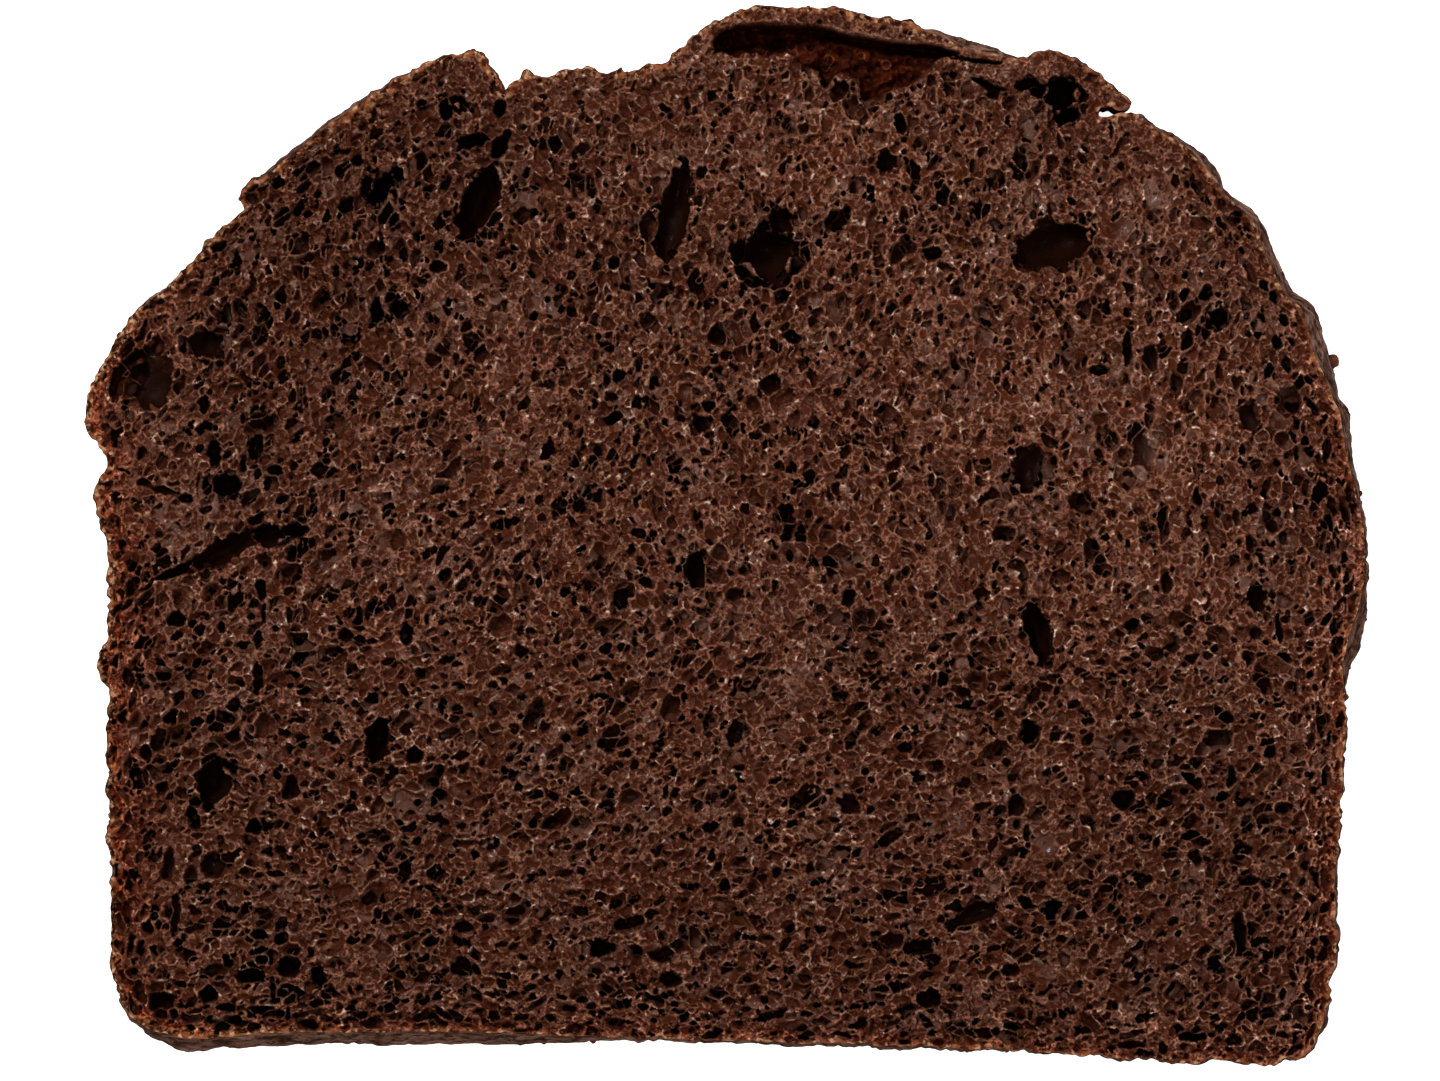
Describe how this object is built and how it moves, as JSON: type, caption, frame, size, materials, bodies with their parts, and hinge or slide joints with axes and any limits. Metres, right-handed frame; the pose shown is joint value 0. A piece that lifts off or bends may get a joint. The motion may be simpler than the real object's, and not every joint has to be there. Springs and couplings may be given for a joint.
{
  "type": "dark bread slice",
  "caption": "Thick slice of dark tin-loaf bread with an open crumb, a domed burst top crust and a flat base, lying on one cut face.",
  "frame": {"origin": "middle of the slice's outline box, on the plane of the back cut face that it lies on", "axes": "+X across the slice, to the right of the picture; +Y from the loaf's flat base to its domed top; +Z out of the upper cut face"},
  "size_m": [0.125, 0.1031, 0.013],
  "materials": {
    "crumb": "matte",
    "crust": "satin"
  },
  "bodies": {
    "root": {"bread_slice": "crumb"}
  },
  "joints": []
}
